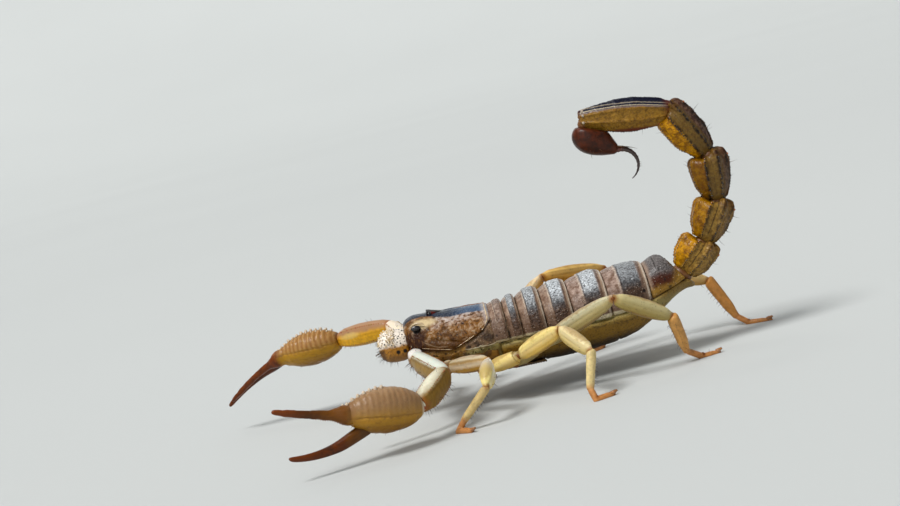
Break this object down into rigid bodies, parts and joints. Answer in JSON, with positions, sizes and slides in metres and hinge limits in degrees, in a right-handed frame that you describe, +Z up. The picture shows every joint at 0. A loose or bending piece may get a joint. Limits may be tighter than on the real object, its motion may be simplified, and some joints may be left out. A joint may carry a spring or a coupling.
{
  "type": "scorpion",
  "caption": "Life-size scorpion in a still pose, standing on a level floor with its claws held out in front and its segmented tail arched over its back.",
  "frame": {"origin": "middle of the animal's bounding box, on the floor that its feet stand on", "axes": "+Z up from the floor, -X the way the head points, +Y the animal's right"},
  "size_m": [0.0582, 0.0392, 0.0261],
  "materials": {
    "shield": "satin, granular",
    "back": "glossy, granular",
    "belly": "satin",
    "leg": "satin, slightly translucent",
    "foot": "satin",
    "tail": "satin, keeled",
    "bulb": "glossy",
    "hand": "satin",
    "finger": "glossy",
    "jaw": "satin",
    "eye": "polished"
  },
  "bodies": {
    "root": {"head_shield": "shield", "eye_mound": "eye", "side_eye_left": "eye", "side_eye_right": "eye", "jaw_left": "jaw", "jaw_right": "jaw", "breast": "belly", "back_plate_1": "back", "back_plate_2": "back", "back_plate_3": "back", "back_plate_4": "back", "back_plate_5": "back", "back_plate_6": "back", "back_plate_7": "back", "belly": "belly", "comb_left": "belly", "comb_right": "belly", "tail_1": "tail", "tail_2": "tail", "tail_3": "tail", "tail_4": "tail", "tail_5": "tail", "sting_bulb": "bulb", "sting_point": "bulb", "claw_left_trochanter": "leg", "claw_left_femur": "leg", "claw_left_patella": "leg", "claw_left_hand": "hand", "claw_left_finger": "finger", "leg_1_left_femur": "leg", "leg_1_left_patella": "leg", "leg_1_left_foot": "foot", "leg_2_left_femur": "leg", "leg_2_left_patella": "leg", "leg_2_left_foot": "foot", "leg_3_left_femur": "leg", "leg_3_left_patella": "leg", "leg_3_left_foot": "foot", "leg_4_left_femur": "leg", "leg_4_left_patella": "leg", "leg_4_left_foot": "foot", "claw_right_trochanter": "leg", "claw_right_femur": "leg", "claw_right_patella": "leg", "claw_right_hand": "hand", "claw_right_finger": "finger", "leg_1_right_femur": "leg", "leg_1_right_patella": "leg", "leg_1_right_foot": "foot", "leg_2_right_femur": "leg", "leg_2_right_patella": "leg", "leg_2_right_foot": "foot", "leg_3_right_femur": "leg", "leg_3_right_patella": "leg", "leg_3_right_foot": "foot", "leg_4_right_femur": "leg", "leg_4_right_patella": "leg", "leg_4_right_foot": "foot"}
  },
  "joints": []
}
